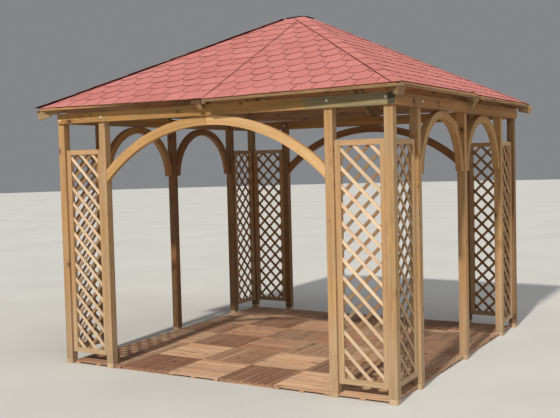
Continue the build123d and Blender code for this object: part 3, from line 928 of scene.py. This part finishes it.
root2 = math.sqrt(2)
pc = Piece()
for k in range(4):
    rafter(pc, spin(math.radians(45 + 90 * k)), lambda d: APEX - HIP_DROP - SLOPE * d / root2, SLOPE / root2,
           HUB_R, HIP_END * root2, HIP_H, HIP_W, 1.638 * root2 + 0.0235,
           [(0.2, 0.35, 0.1), (0.4, 0.4, 0.5), (0.6, 0.3, 0.5), (0.35, 0.45, 0.55)][k],
           tail=HIP_TAIL if k in (0, 3) else None, level=BACK_Z1 if k in (0, 1) else None, end_mi=1 if k in (0, 3) else 2)
pc.make("hip_rafter_timbers", [rafter_wood, tail_wood, batten_end], "beam_wood", ["hip_rafters"])
pc = Piece()
for k in range(4):
    rafter(pc, spin(math.radians(90 * k)), lambda d: UNDER_APEX - SLOPE * d - 0.0003, SLOPE,
           HUB_R, EAVE - 0.008, MID_H, MID_W, [RIGHT_OUT, BEAM_OUT, BEAM_LEFT, BEAM_OUT][k] + 0.0003,
           tone(near(0.6, 0.2), near(0.3, 0.2), near(0.5, 0.2)), level=BACK_Z1 if k == 1 else None)
pc.make("middle_rafter_timbers", [rafter_wood, rafter_wood], "beam_wood", ["middle_rafters"])
pc = Piece()
for k in range(4):
    for s in (-1, 1):
        shift = s * (MID_W / 2 + 0.007 + BAT_W / 2)
        T0 = spin(math.radians(-90 + 90 * k))
        rafter(pc, lambda p, T0=T0, shift=shift: T0((p[0], p[1] + shift, p[2])),
               lambda d: UNDER_APEX - SLOPE * d - 0.0003, SLOPE, 0.110, EAVE - 0.012, BAT_H, BAT_W, None,
               tone(near(0.7, 0.2) * (0.2 if k == 1 else 1.0), near(0.3, 0.2), near(0.5, 0.2)),
               end_mi=2 if k == 0 and s > 0 else 1)
pc.make("roof_batten_strips", [rafter_wood, rafter_wood, batten_end], "board_wood", ["roof_battens"])
pc = Piece()
oct_pts = [(HUB_R / math.cos(math.pi / 8) * math.cos(math.radians(22.5 + 45 * k)),
            HUB_R / math.cos(math.pi / 8) * math.sin(math.radians(22.5 + 45 * k))) for k in range(8)]
prism(pc, oct_pts, HUB_Z0, HUB_Z1, lambda p, q, w: (p, q, w), lambda p, q, w: (w, p, q), tone(0.5, 0.4, 0.4),
      r=0.002, cap=0.004)
pc.make("apex_hub", [rafter_wood], "beam_wood", ["apex_block"])

# ----------------------------------------------------------- roof boards
inset_hip = HIP_W / 2 * root2
PITCH_D = 0.0865
s0, s1 = BOARD_SEAM - 0.001, BOARD_SEAM + 0.001
WIDE = EAVE - inset_hip - s1
eave_tones = {(0, -1): (0.62, 0.35, 0.3), (0, 1): (0.38, 0.25, 0.5), (1, -1): (0.42, 0.5, 0.4), (1, 1): (0.45, 0.5, 0.3)}
for q, side in enumerate(SIDES):
    pc = Piece()
    T = turn(q)
    for s in (-1, 1):
        push = PUSH[q] if s > 0 else 0.0
        if s > 0:
            far_l = lambda D: s1 + 0.0004
            far_r = lambda D, push=push: (D + push * (1 + s1 / WIDE) - inset_hip) / (1 + push / WIDE)
        else:
            far_l = lambda D: -(D - inset_hip)
            far_r = lambda D: min(s0 - 0.0004, D - inset_hip)
        d1 = EAVE
        first = True
        while d1 > 0.075:
            d0 = max(d1 - (PITCH_D if not first else 0.090), 0.070)
            e = d1 - (0.0 if first else 0.0004)
            c = 0.004
            # outline in plan distance and depth below the top face, measured plumb
            v = BOARD / COS
            prof = [(d0 + 0.0004, 0.0), (e, 0.0), (e, -v + c), (e - c, -v), (d0 + 0.0004 + c, -v), (d0 + 0.0004, -v + c)]
            Lb = far_r(e) - far_l(e)

            def place(d, z, w, push=push, far_l=far_l, far_r=far_r, Lb=Lb, T=T):
                lo, hi = far_l(d), far_r(d)
                u = lo + w if w < Lb / 2 else hi - (Lb - w)
                u = min(max(u, lo), max(hi, lo + 0.0006)) if w < Lb / 2 else max(u, lo + 0.0006 + 0.0001 * w)
                dd = d + push * (1 - (u - s1) / WIDE)
                return T((u, -dd, BOARD_APEX - SLOPE * dd + z))

            tn = tone(near(0.5, 0.35), near(0.45, 0.4), near(0.45, 0.4))
            stain_fn = None
            steps = ()
            wall = None
            if first and (q, s) in eave_tones:
                tn = eave_tones[(q, s)]
                if (q, s) != (0, -1):
                    # the weathered outer edge
                    wall = lambda a, b, e=e: 1 if min(a[0], b[0]) > e - 1e-6 else 0
                if (q, s) == (0, -1):
                    steps = [Lb * k / 8 for k in range(1, 8)]
                    stain_fn = lambda d, z, w, Lb=Lb: 0.92 * smooth01((w / Lb - 0.42) / 0.34)
            if Lb > 0.03 and far_r(d0 + 0.0004) - far_l(d0 + 0.0004) > 0.006:
                prism(pc, prof, 0.0, Lb, place, lambda d, z, w: (w, d * LEN, z), tn, r=0.0, cap=0.0008,
                      steps=steps, stain=stain_fn, wall_mi=wall, end_mi=(1, 1) if wall else None)
            first = False
            d1 = d0
            if d0 <= 0.0701:
                break
    pc.make(f"roof_boards_{side}", [board_wood, eave_wood], "board_wood", [f"roof_{side}"])


# --------------------------------------------------------- roof covering
def split(polys, nx, ny, c):
    out = []
    for p in polys:
        for sg in (1, -1):
            h = clip(p, sg * nx, sg * ny, sg * c)
            if h and abs(area_of(h)) > 1e-8:
                out.append(h)
    return out


def plate(pc, poly, us, vs, top, bot, T, tn, edge_fn, cuts=(), measure=None):
    # a thin closed plate: outline in (u, v), cut into cells, top and bottom heights over the boards
    polys = [poly]
    for c in us:
        polys = split(polys, 1, 0, c)
    for c in vs:
        polys = split(polys, 0, 1, c)
    for nx, ny, c in cuts:
        polys = split(polys, nx, ny, c)
    key, pts, cells = {}, [], []
    for p in polys:
        if area_of(p) < 0:
            p = p[::-1]
        cell = []
        for x, y in p:
            k = (round(x * 20000), round(y * 20000))
            if k not in key:
                key[k] = len(pts)
                pts.append((x, y))
            if not cell or cell[-1] != key[k]:
                cell.append(key[k])
        if len(cell) > 1 and cell[0] == cell[-1]:
            cell.pop()
        if len(cell) >= 3:
            cells.append(cell)
    if not cells:
        return
    # let neighbours that end on a cell's side share its points
    n = len(pts)
    # the plate's rim: edges that only one cell uses
    used = {}
    for c in cells:
        for i in range(len(c)):
            used[(c[i - 1], c[i])] = used.get((c[i - 1], c[i]), 0) + 1
    border = [e for e in used if (e[1], e[0]) not in used]
    co, gr, ed = [], [], []
    for k, fn in enumerate((top, bot)):
        for u, v in pts:
            d = v / LEN
            co.append(T((u, -d, BOARD_APEX - SLOPE * d + fn(u, v) * LEN)))
            gr.append(measure(u, v) if measure else (0.0, 1.0, 1.0))
            ed.append(edge_fn(u, v) if k == 0 else 0.6)
    faces = [list(c) for c in cells] + [[n + i for i in reversed(c)] for c in cells]
    mats = [0] * len(cells) + [2] * len(cells)
    for a, b in border:
        faces.append([b, a, n + a, n + b])
        mats.append(1)
    pc.add(co, faces, gr, tn, mats, ed, shift=False)


EXPO = 0.140          # part of a course left open
TABL = 0.285          # length of a tab, two courses deep
TH = 0.0028
V_EAVE = EAVE * LEN + 0.006
V_TOP = 0.13


def tab_outline(u0, u1, vb, vt):
    # straight sides and a rounded lower end
    w = u1 - u0
    rx, ry = min(0.058, w * 0.37), 0.064
    pts = [(u0, vt), (u0, vb - ry)]
    for k in range(1, 6):
        t = math.pi / 2 * k / 6
        pts.append((u0 + rx * (1 - math.cos(t)), vb - ry + ry * math.sin(t)))
    pts += [(u0 + rx, vb), (u1 - rx, vb)]
    for k in range(1, 6):
        t = math.pi / 2 * (1 - k / 6)
        pts.append((u1 - rx * (1 - math.cos(t)), vb - ry + ry * math.sin(t)))
    pts += [(u1, vb - ry), (u1, vt)]
    return pts


SLOT = 0.0036
SEAM = 0.086
OVER = [(0.003, 0.034, 0.047, -0.004), (-0.026, -0.062, -0.020, -0.026), (0.006, 0.016, 0.047, 0.002),
        (0.006, 0.016, 0.029, 0.002)]


def eave_v(q, panel, u):
    # how far down the lowest course reaches
    a, b, c, d = OVER[q]
    if panel == "L":
        t = min(1.0, max(0.0, (u + EAVE) / (EAVE + SEAM)))
        o = a + (b - a) * t
    else:
        t = min(1.0, max(0.0, (u - SEAM) / (EAVE - SEAM)))
        o = c + (d - c) * t
    return (EAVE + o) * LEN


# tab joints measured along the eave: (first joint right of the seam, pitch right, first joint left, pitch left)
LAY = [(0.195, 0.168, -0.151, 0.1755), (0.19, 0.169, -0.16, 0.169), (0.15, 0.169, -0.18, 0.169),
       (0.18, 0.169, -0.17, 0.169)]


# how much lower the courses above the first one sit, left and right of the seam
DROP = [(0.024, 0.036), (0.020, 0.028), (0.02, 0.03), (0.03, 0.02)]


def side_covering(q):
    pc = Piece()
    T = turn(q)
    right0, pr, left0, pl = LAY[q]
    k = 0
    vb = V_EAVE
    while vb > V_TOP + 0.03:
        jit = rng.uniform(-0.0025, 0.0025)
        vb0 = vb + (0 if k == 0 else jit)
        seam = SEAM + rng.uniform(-0.003, 0.003)
        dmax = vb0 / LEN + 0.03

        def mk(u0, u1, panel, first=False, shape=True):
            tn = tone()
            vbk = vb0 + (0.0 if k == 0 else DROP[q][panel == "R"] + rng.uniform(-0.0015, 0.0015))
            vt = max(vbk - TABL, 0.120)
            curl = rng.uniform(0.0, 0.0014) if rng.random() < 0.72 else rng.uniform(0.0015, 0.0040)
            skew = rng.uniform(-1, 1)
            if k == 0:
                um = min(max(0.5 * (u0 + u1), -EAVE), EAVE)
                outline = [(u0, vt), (u0, eave_v(q, panel, u0)), (um, eave_v(q, panel, um)),
                           (u1, eave_v(q, panel, u1)), (u1, vt)]
            elif shape:
                outline = tab_outline(u0, u1, vbk, vt)
            else:
                outline = [(u0, vt), (u0, vbk), (u1, vbk), (u1, vt)]
            # hips
            stick = rng.uniform(0.034, 0.054)
            poly = clip(outline, 1, -1 / LEN, stick if q == 3 else 0.0)
            poly = clip(poly, -1, -1 / LEN, -0.008 if q == 0 else 0.0) if poly else poly
            if panel == "L" and poly:
                poly = clip(poly, 1, 0, seam)
            if panel == "R" and poly:
                poly = clip(poly, -1, 0, -0.080 if k == 0 else -0.012)
            if not poly or abs(area_of(poly)) < 2e-4:
                return

            def top(u, v):
                s = max(0.0, vbk - v)
                h = 3 * TH - TH * s / EXPO
                # over the neighbour at the seam, and up to the lap at the left hip
                if panel == "L":
                    h += 0.0032 * smooth01((u + 0.06) / 0.07)
                hipd = u + v / LEN
                if panel == "L" and q != 0:
                    h += 0.0032 * (1 - smooth01(hipd / 0.07))
                if k == 0:
                    ub = min(max(u, -EAVE), EAVE)
                    lip = EAVE + (PUSH[q] * (1 - (ub - s1) / WIDE) if panel == "R" else 0.0)
                    h -= 2.6 * max(0.0, v / LEN - lip) ** 2
                lift = (1 - smooth01(s / 0.09))
                uu = (u - (u0 + u1) / 2) / max(0.05, (u1 - u0) / 2)
                h += lift * curl * (0.6 + 0.4 * uu * skew)
                return h

            def edge_fn(u, v):
                # darker along the panel's edge at the seam
                return 1.75 * (1 - smooth01((seam - u - 0.004) / 0.005)) if panel == "L" else 0.0

            def measure(u, v):
                hw = (u1 - u0) / 2
                return (u - (u0 + u1) / 2, 1.0 if k == 0 else vbk - v, hw if shape else hw + 1.0)

            us = [u0 + 0.004, u0 + (u1 - u0) * 0.33, u0 + (u1 - u0) * 0.67, u1 - 0.004]
            if panel == "L":
                us += [c for c in (-0.06, -0.035, -0.01, 0.01, seam - 0.009, seam - 0.004) if u0 < c < u1]
            vs = [vbk - 0.005, vbk - 0.050, vbk - 0.095, vbk - EXPO]
            if k == 0:
                vs = [vbk - 0.050, vbk - EXPO, EAVE * LEN, (EAVE + 0.014) * LEN, (EAVE + 0.028) * LEN]
            plate(pc, poly, us, vs, top, lambda u, v: top(u, v) - TH, T, tn, edge_fn, measure=measure)

        shift = 0.5 * (k % 2)
        # right of the seam
        j = [right0 + (n + shift) * pr for n in range(-2, 12)]
        j = [x for x in j if x > 0.02]
        lo = 0.0
        for x in j:
            if lo > dmax:
                break
            mk(lo + (SLOT / 2 if lo > 0.02 else 0), x - SLOT / 2, "R")
            lo = x
        # left of the seam
        j = [left0 - (n - shift + (0 if shift == 0 else 0)) * pl for n in range(0, 13)]
        j = [x for x in j if x < -0.05]
        hi = seam
        for n, x in enumerate(j):
            if hi < -dmax:
                break
            mk(x + SLOT / 2, hi if n == 0 else hi - SLOT / 2, "L", shape=(n > 0))
            hi = x
        # lap over the neighbouring face at the left hip
        if q != 0:
            vl = vb0 + (0.0 if k == 0 else DROP[q][0])
            lap(pc, q, k, vl, max(vl - TABL, 0.120))
        k += 1
        vb -= EXPO
    return pc


def lap(pc, q, k, vbk, vt):
    # the course carries on round the hip onto the next face clockwise,
    # in a strip that narrows towards the eave
    T = turn(q + 3)
    a = 0.12664 + rng.uniform(-0.002, 0.002)
    b = 0.024447
    tn = tone()
    curl = rng.uniform(0.0, 0.0012)
    low = (EAVE + 0.002) * LEN if k == 0 else vbk
    outline = [(0.0, vt), (0.0, low), (3.0, low), (3.0, vt)]
    # between the hip u = v/LEN and the strip's edge
    poly = clip(outline, 1, -1 / LEN, 0.0)
    poly = clip(poly, -1, 1 / LEN + b, a)
    if not poly:
        return

    def top(u, v):
        s = max(0.0, vbk - v)
        return 3 * TH - TH * s / EXPO + 0.0034 + (1 - smooth01(s / 0.09)) * curl

    # painted shade: a dark line along each course's lower edge, partly the felt's dark edge, and a painted shadow line
    # along the lap's raised edge
    def edge_fn(u, v):
        s = vbk - v
        e = (1 - smooth01(s / 0.0045)) if k else 0.0
        lapd = u - v * (1 / LEN + b) + a
        e = max(0.7 * e, 2.0 * (1 - smooth01((lapd - 0.004) / 0.008)))
        return e

    plate(pc, poly, [], [vbk - 0.005, vbk - 0.05, vbk - EXPO], top, lambda u, v: top(u, v) - TH, T, tn, edge_fn,
          cuts=[(-1, 1 / LEN + b, a - 0.0040), (-1, 1 / LEN + b, a - 0.0120)])


for q, side in enumerate(SIDES):
    side_covering(q).make(f"roof_covering_{side}", [cover_red, felt, bitumen], "roof_covering", smooth=25)

# Cap of the same felt folded over the flat-topped apex.
pc = Piece()
N = 36


def cap_xy(a, b):
    # square grid bent to a square with round corners
    m = max(abs(a), abs(b))
    if m < 1e-9:
        return 0.0, 0.0
    p = 5.5
    k = m / (abs(a) ** p + abs(b) ** p) ** (1 / p)
    return a * k * CAP_HALF, b * k * CAP_HALF


top, bot = [], []
for i in range(N + 1):
    for j in range(N + 1):
        a, b = 2 * i / N - 1, 2 * j / N - 1
        x, y = cap_xy(a, b)
        m = max(abs(a), abs(b))
        # a shallow dome with a slack rim
        z = CAP_TOP - 0.0042 * m ** 2.4 - 0.0006 * (1 + math.sin(31 * x + 17 * y)) * m
        top.append((x, y, z))
        bot.append((x, y, z - 0.0042 - 0.0036 * smooth01((m - 0.72) / 0.2)))
n = len(top)
idx = lambda i, j: i * (N + 1) + j
faces, mats = [], []
for i in range(N):
    for j in range(N):
        f = [idx(i, j), idx(i + 1, j), idx(i + 1, j + 1), idx(i, j + 1)]
        faces.append(f)
        mats.append(0)
        faces.append([n + a for a in reversed(f)])
        mats.append(2)
ring = [idx(i, 0) for i in range(N)] + [idx(N, j) for j in range(N)] + [idx(i, N) for i in range(N, 0, -1)] + \
       [idx(0, j) for j in range(N, 0, -1)]
for a in range(len(ring)):
    b = (a + 1) % len(ring)
    faces.append([ring[b], ring[a], n + ring[a], n + ring[b]])
    mats.append(2)
ed = []
for x, y, z in top:
    ed.append(0.9 * smooth01((max(abs(x), abs(y)) - CAP_HALF + 0.006) / 0.005))
pc.add(top + bot, faces, top + bot, tone(0.5, 0.5, 0.5), mats, ed + [0.4] * n, shift=False)
pc.make("apex_cap_cover", [cover_red, felt, bitumen], "roof_covering", ["apex_cap"], smooth=40)

# ------------------------------------------------------------ floor deck
TILE = 0.515
X0, Y0 = -1.505, -1.600
clear = FOOT_W / 2 + 0.003


def ribbed(w0, w1, z0, z1):
    # cross-section of a ribbed board between w0 and w1
    pts = [(w0, z0), (w1, z0), (w1, z1 - 0.0008)]
    rib = 0.0108
    n = max(1, int((w1 - w0 - 0.004) / rib))
    step = (w1 - w0) / n
    depth = 0.0022
    for i in range(n, 0, -1):
        a, b = w0 + (i - 1) * step, w0 + i * step
        # crest from b-0.2 to a+0.45, groove to a
        pts += [(b - 0.0008 if i == n else b - 0.14 * step, z1), (a + 0.40 * step, z1)]
        if i > 1:
            pts += [(a + 0.28 * step, z1 - depth), (a - 0.02 * step, z1 - depth)]
        else:
            pts += [(a + 0.0008, z1)] if a + 0.0008 < a + 0.40 * step - 0.001 else []
    pts.append((w0, z1 - 0.0008))
    return pts


def deck_board(pc, along, a0, a1, b0, b1, tn):
    # a0..a1 along the board, b0..b1 across; feet cut out
    zb, zt = 0.0155, DECK_T
    holes = []
    for fx, fy, _ in foot_spots:
        fa, fb = (fx, fy) if along == "x" else (fy, fx)
        if fa + clear > a0 and fa - clear < a1 and fb + clear > b0 and fb - clear < b1:
            holes.append((fa - clear, fa + clear, fb - clear, fb + clear))
    spans = [(a0, a1, b0, b1)]
    for ha0, ha1, hb0, hb1 in holes:
        nxt = []
        for s in spans:
            if ha1 <= s[0] or ha0 >= s[1] or hb1 <= s[2] or hb0 >= s[3]:
                nxt.append(s)
                continue
            if ha0 > s[0] + 0.01:
                nxt.append((s[0], ha0, s[2], s[3]))
            if ha1 < s[1] - 0.01:
                nxt.append((ha1, s[1], s[2], s[3]))
            m0, m1 = max(s[0], ha0), min(s[1], ha1)
            if hb0 > s[2] + 0.008:
                nxt.append((m0, m1, s[2], hb0))
            if hb1 < s[3] - 0.008:
                nxt.append((m0, m1, hb1, s[3]))
        spans = nxt
    go = (rng.uniform(0, 40), rng.uniform(-0.04, 0.04))
    for s0, s1, t0, t1 in spans:
        prof = ribbed(t0, t1, zb, zt)
        if along == "x":
            place = lambda p, z, w: (w, p, z)
        else:
            place = lambda p, z, w: (p, w, z)
        co, gr = [], []
        for w in (s0, s1):
            for p, z in prof:
                co.append(place(p, z, w))
                gr.append((w + go[0], p - b0 + go[1], z))
        m = len(prof)
        faces = [[i, (i + 1) % m, m + (i + 1) % m, m + i] for i in range(m)]
        ends = cap_faces(prof)
        faces += [t[::-1] for t in ends] + [[m + i for i in t] for t in ends]
        pc.add(co, faces, gr, tn, 0, None, shift=False)


def tile_tone(i, j):
    # (bright, warm) by tile: reddish brown, pinkish and tan tiles take turns
    if j == 0:
        return [(0.3, 0.75), (0.35, 0.95), (0.72, 0.35), (0.35, 0.80), (0.85, 0.15), (0.8, 0.1)][i]
    if j == 1:
        return [(0.5, 0.3), (0.78, 0.15), (0.45, 0.45), (0.80, 0.05), (0.35, 0.85), (0.5, 0.5)][i]
    return (near(0.45, 0.25), near(0.6, 0.35))


pc = Piece()
for i in range(6):
    for j in range(6):
        x0, x1 = X0 + i * TILE, X0 + (i + 1) * TILE
        if i == 0:
            x0 = -1.528
        y0, y1 = Y0 + j * TILE, Y0 + (j + 1) * TILE
        g = 0.003
        x0, x1, y0, y1 = x0 + g, x1 - g, y0 + (g if j else 0.0005), y1 - g
        # boards run across every other tile
        along = "x" if (i + j) % 2 == 0 or (i, j) == (5, 0) else "y"
        br, wm = tile_tone(i, j)
        lo, hi = (y0, y1) if along == "x" else (x0, x1)
        la, lb = (x0, x1) if along == "x" else (y0, y1)
        nb = 8
        pitch = (hi - lo + 0.0075) / nb
        for k in range(nb):
            b0 = lo + k * pitch
            b1 = b0 + pitch - 0.0075
            e = rng.uniform(0, 0.0012)
            deck_board(pc, along, la + e, lb - rng.uniform(0, 0.0012), b0, b1,
                       (near(br, 0.12), near(wm, 0.12), near(0.5, 0.25)))
        # bearers under the boards
        for t in (0.03, (lb - la) / 2, (lb - la) - 0.03):
            c0, c1 = la + t - 0.0225, la + t + 0.0225
            c0, c1 = max(c0, la), min(c1, lb)
            ax = "y" if along == "x" else "x"
            # kept clear of the foot blocks
            run = [(lo, hi)]
            for fx, fy, _ in foot_spots:
                fc, fr = (fx, fy) if along == "x" else (fy, fx)
                if fc + clear > c0 and fc - clear < c1:
                    nr = []
                    for r0, r1 in run:
                        if fr - clear < r1 and fr + clear > r0:
                            if fr - clear > r0 + 0.01:
                                nr.append((r0, fr - clear))
                            if fr + clear < r1 - 0.01:
                                nr.append((fr + clear, r1))
                        else:
                            nr.append((r0, r1))
                    run = nr
            for r0, r1 in run:
                tnb = (near(0.45, 0.2), near(0.5, 0.3), near(0.6, 0.2))
                if ax == "y":
                    timber(pc, c0, c1, r0, r1, 0.0, 0.0154, "y", tnb, None, r=0.001, seg=1)
                else:
                    timber(pc, r0, r1, c0, c1, 0.0, 0.0154, "x", tnb, None, r=0.001, seg=1)
pc.make("deck_tiles", [deck_wood], "deck_wood", ["floor_deck"])

# --------------------------------------------------- ground, light, camera
fl = bpy.data.meshes.new("studio_floor")
R, M = 60.0, 96
fl.from_pydata([(R * math.cos(2 * math.pi * k / M), R * math.sin(2 * math.pi * k / M), -0.0005) for k in range(M)],
               [], [list(range(M))])
floor = bpy.data.objects.new("studio_floor", fl)
bpy.context.scene.collection.objects.link(floor)
t = Tree("studio_floor")
n1 = t.noise(t.place(), 0.7, 3.0)
n2 = t.noise(t.place(), 40.0, 3.0)
cfl = t.mix(t.ramp(t.math("ADD", t.math("MULTIPLY", n1, 0.7), t.math("MULTIPLY", n2, 0.3)), 0.3, 0.7),
            lin(203, 201, 196), lin(212, 210, 205))
fl.materials.append(t.done(cfl, 0.9, None, spec=0.1))

world = bpy.data.worlds.new("studio")
bpy.context.scene.world = world
world.use_nodes = True
bg = world.node_tree.nodes["Background"]
bg.inputs[0].default_value = (0.93, 0.96, 1.0, 1.0)
bg.inputs[1].default_value = 0.25


def lamp(kind, name, energy, color, loc, look, **kw):
    d = bpy.data.lights.new(name, kind)
    d.energy = energy
    d.color = color
    for k, v in kw.items():
        setattr(d, k, v)
    o = bpy.data.objects.new(name, d)
    bpy.context.scene.collection.objects.link(o)
    o.location = loc
    o.rotation_euler = (Vector(look) - Vector(loc)).to_track_quat("-Z", "Y").to_euler()
    return o


el, az = math.radians(38), math.radians(5.4)
sun = Vector((math.sin(az) * math.cos(el), -math.cos(az) * math.cos(el), math.sin(el)))
lamp("SUN", "key", 3.15, (1.0, 0.96, 0.88), tuple(sun * 20), (0, 0, 0), angle=math.radians(2.5))
lamp("SUN", "fill", 0.95, (0.93, 0.96, 1.0), (14.0, -3.0, 14.0), (0, 0, 0), angle=math.radians(80))

cam = bpy.data.cameras.new("camera")
cam_o = bpy.data.objects.new("camera", cam)
bpy.context.scene.collection.objects.link(cam_o)
right = Vector((0.8620456602674579, 0.5062177275529899, -0.024917703046818982))
down = Vector((0.005371306801665907, -0.058285776023054764, -0.9982854889141848))
ahead = Vector((-0.5068021593060599, 0.8604338327985931, -0.05296405099912464))
cam_o.matrix_world = Matrix((
    (right.x, -down.x, -ahead.x, 3.9932274),
    (right.y, -down.y, -ahead.y, -7.2743730),
    (right.z, -down.z, -ahead.z, 1.7704341),
    (0, 0, 0, 1)))
cam.sensor_width = 36.0
cam.sensor_fit = "HORIZONTAL"
cam.lens = 855.217 / 560 * 36
cam.shift_x = (280 - 278.584) / 560
cam.shift_y = -(209 - 208.259) / 560
cam.clip_end = 300
bpy.context.scene.camera = cam_o
bpy.context.scene.view_settings.view_transform = "Standard"
bpy.context.scene.view_settings.look = "None"
